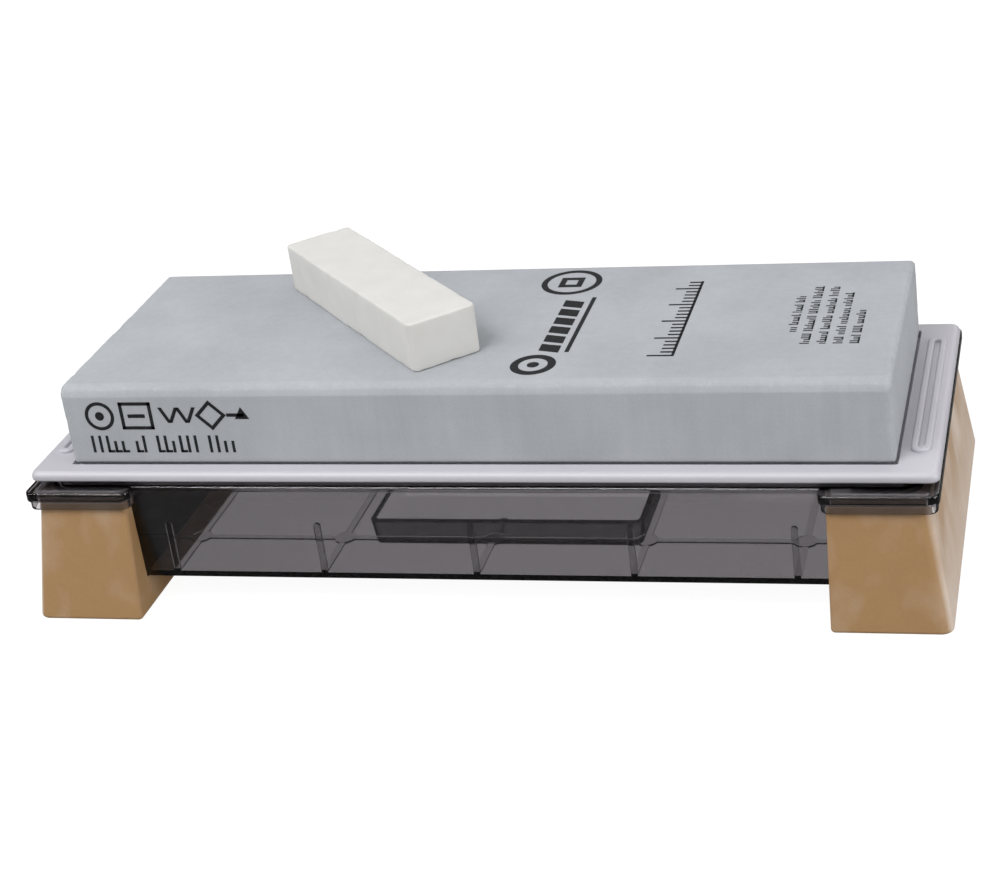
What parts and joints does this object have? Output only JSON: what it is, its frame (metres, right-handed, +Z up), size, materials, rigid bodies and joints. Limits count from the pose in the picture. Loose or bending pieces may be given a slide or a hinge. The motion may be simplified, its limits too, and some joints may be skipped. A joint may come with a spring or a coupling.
{
  "type": "sharpening whetstone",
  "caption": "Flat rectangular sharpening stone with a small dressing stone, in a recessed tray on a smoked plastic water case held by two rubber boots.",
  "frame": {"origin": "on the table under the middle of the set, at the soles of the rubber boots", "axes": "+X along the length of the stone, +Y away from the side that carries the printed marks, +Z up"},
  "size_m": [0.2306, 0.0988, 0.0717],
  "materials": {
    "sharpening_stone": "fine matte grit, blue-grey",
    "dressing_stone": "matte off-white",
    "tray_plastic": "satin moulded, pale lavender grey",
    "smoked_plastic": "gloss, transparent smoke grey",
    "boot_rubber": "matte tan rubber"
  },
  "bodies": {
    "case": {"storage_case": "smoked_plastic"},
    "tray": {"stone_tray": "tray_plastic"},
    "whetstone": {"sharpening_stone": "sharpening_stone"},
    "dresser": {"dressing_stone": "dressing_stone"},
    "boot_left": {"rubber_boot_left": "boot_rubber"},
    "boot_right": {"rubber_boot_right": "boot_rubber"}
  },
  "joints": [
    {"name": "tray_lift", "type": "slide", "parent": "case", "child": "tray", "axis": [0, 0, 1], "range_m": [0, 0.06]},
    {"name": "stone_lift", "type": "slide", "parent": "tray", "child": "whetstone", "axis": [0, 0, 1], "range_m": [0, 0.05]},
    {"name": "dresser_lift", "type": "slide", "parent": "whetstone", "child": "dresser", "axis": [0, 0, 1], "range_m": [0, 0.05]},
    {"name": "boot_left_pull", "type": "slide", "parent": "case", "child": "boot_left", "axis": [0, 0, -1], "range_m": [0, 0.04]},
    {"name": "boot_right_pull", "type": "slide", "parent": "case", "child": "boot_right", "axis": [0, 0, -1], "range_m": [0, 0.04]}
  ]
}
